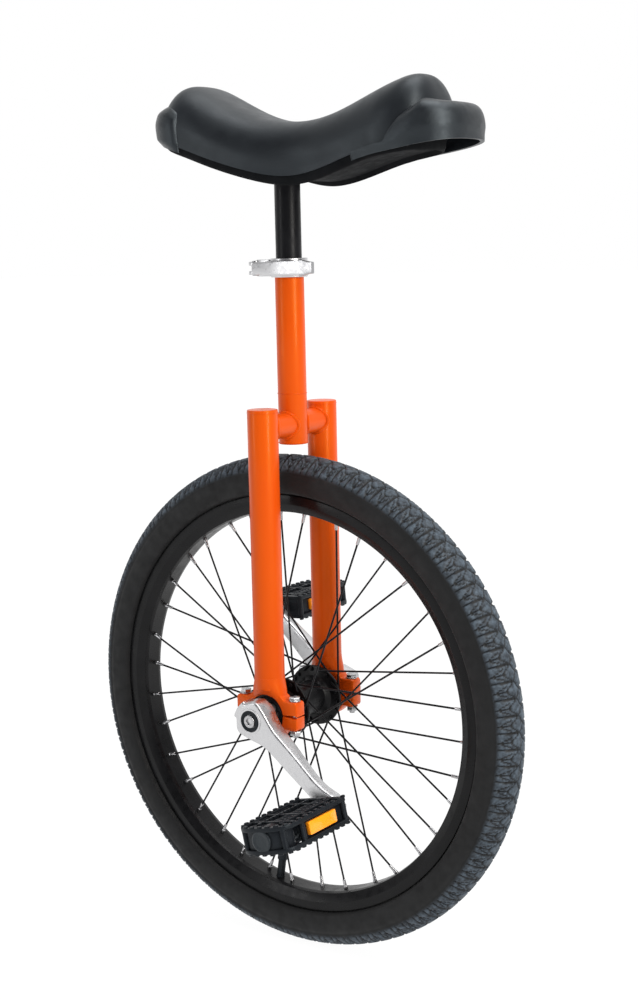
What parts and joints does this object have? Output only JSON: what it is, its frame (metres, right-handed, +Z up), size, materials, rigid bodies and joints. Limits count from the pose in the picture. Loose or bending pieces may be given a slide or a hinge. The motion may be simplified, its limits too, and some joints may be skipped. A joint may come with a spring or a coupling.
{
  "type": "unicycle",
  "caption": "Unicycle: orange fork with flat-capped legs, black spoked wheel, silver cranks, plastic pedals with reflectors and a moulded saddle on a clamped post.",
  "frame": {"origin": "on the ground, straight under the wheel's axle, the bottom centre of the whole box", "axes": "+Z up along the seat tube, +X forward towards the saddle's front grip, +Y to the rider's left along the axle"},
  "size_m": [0.506, 0.394, 0.8688],
  "materials": {
    "orange_paint": "gloss",
    "silver_alloy": "satin",
    "bright_steel": "polished",
    "black_alloy": "satin black",
    "black_steel": "satin black",
    "tyre_rubber": "matt",
    "tube_rubber": "matt",
    "black_plastic": "grained",
    "black_vinyl": "smooth vinyl",
    "amber_reflector": "prismatic"
  },
  "bodies": {
    "frame": {"seat_tube": "orange_paint", "crown_right": "orange_paint", "crown_left": "orange_paint", "leg_right": "orange_paint", "leg_left": "orange_paint", "housing_upper_right": "orange_paint", "housing_upper_left": "orange_paint", "housing_cap_right": "orange_paint", "housing_cap_left": "orange_paint", "bearing_bolt_right_front": "bright_steel", "bearing_bolt_right_rear": "bright_steel", "bearing_bolt_left_front": "bright_steel", "bearing_bolt_left_rear": "bright_steel", "bearing_nut_right_front": "bright_steel", "bearing_nut_right_rear": "bright_steel", "bearing_nut_left_front": "bright_steel", "bearing_nut_left_rear": "bright_steel", "bearing_outer_right": "bright_steel", "bearing_outer_left": "bright_steel", "clamp_collar": "silver_alloy", "clamp_skewer": "bright_steel", "clamp_barrel": "bright_steel"},
    "wheel": {"bearing_inner_right": "bright_steel", "bearing_balls_right": "bright_steel", "spacer_right": "bright_steel", "crank_bolt_right": "bright_steel", "pedal_spindle_right": "bright_steel", "crank_right": "silver_alloy", "dust_ring_right": "black_plastic", "spokes_right": "black_steel", "bearing_inner_left": "bright_steel", "bearing_balls_left": "bright_steel", "spacer_left": "bright_steel", "crank_bolt_left": "bright_steel", "pedal_spindle_left": "bright_steel", "crank_left": "silver_alloy", "dust_ring_left": "black_plastic", "spokes_left": "black_steel", "hub_shell": "black_alloy", "axle": "bright_steel", "rim": "black_alloy", "rim_tape": "tube_rubber", "inner_tube": "tube_rubber", "valve_cap": "black_plastic", "tyre": "tyre_rubber"},
    "pedal_right": {"pedal_body_right": "black_plastic", "pedal_cap_right": "black_plastic", "pedal_reflector_front_right": "amber_reflector", "pedal_reflector_rear_right": "amber_reflector"},
    "pedal_left": {"pedal_body_left": "black_plastic", "pedal_cap_left": "black_plastic", "pedal_reflector_front_left": "amber_reflector", "pedal_reflector_rear_left": "amber_reflector"},
    "seat": {"seat_post": "black_steel", "saddle_base": "black_plastic", "stud_plate": "bright_steel", "saddle_cushion": "black_vinyl", "front_bumper": "black_plastic", "rear_bumper": "black_plastic"},
    "clamp_lever": {"clamp_lever": "silver_alloy"}
  },
  "joints": [
    {"name": "wheel_spin", "type": "hinge", "parent": "frame", "child": "wheel", "pos_m": [0, 0, 0.253], "axis": [0, 1, 0], "continuous": true},
    {"name": "pedal_right_spin", "type": "hinge", "parent": "wheel", "child": "pedal_right", "pos_m": [0.09584, -0.14775, 0.18589], "axis": [0, 1, 0], "continuous": true},
    {"name": "pedal_left_spin", "type": "hinge", "parent": "wheel", "child": "pedal_left", "pos_m": [-0.09584, 0.14775, 0.32011], "axis": [0, 1, 0], "continuous": true},
    {"name": "seat_height", "type": "slide", "parent": "frame", "child": "seat", "axis": [0, 0, 1], "range_m": [-0.046, 0.06]},
    {"name": "clamp_lever_swing", "type": "hinge", "parent": "frame", "child": "clamp_lever", "pos_m": [-0.0265, -0.0195, 0.6898], "axis": [0, 0, -1], "range_deg": [0, 150]}
  ]
}
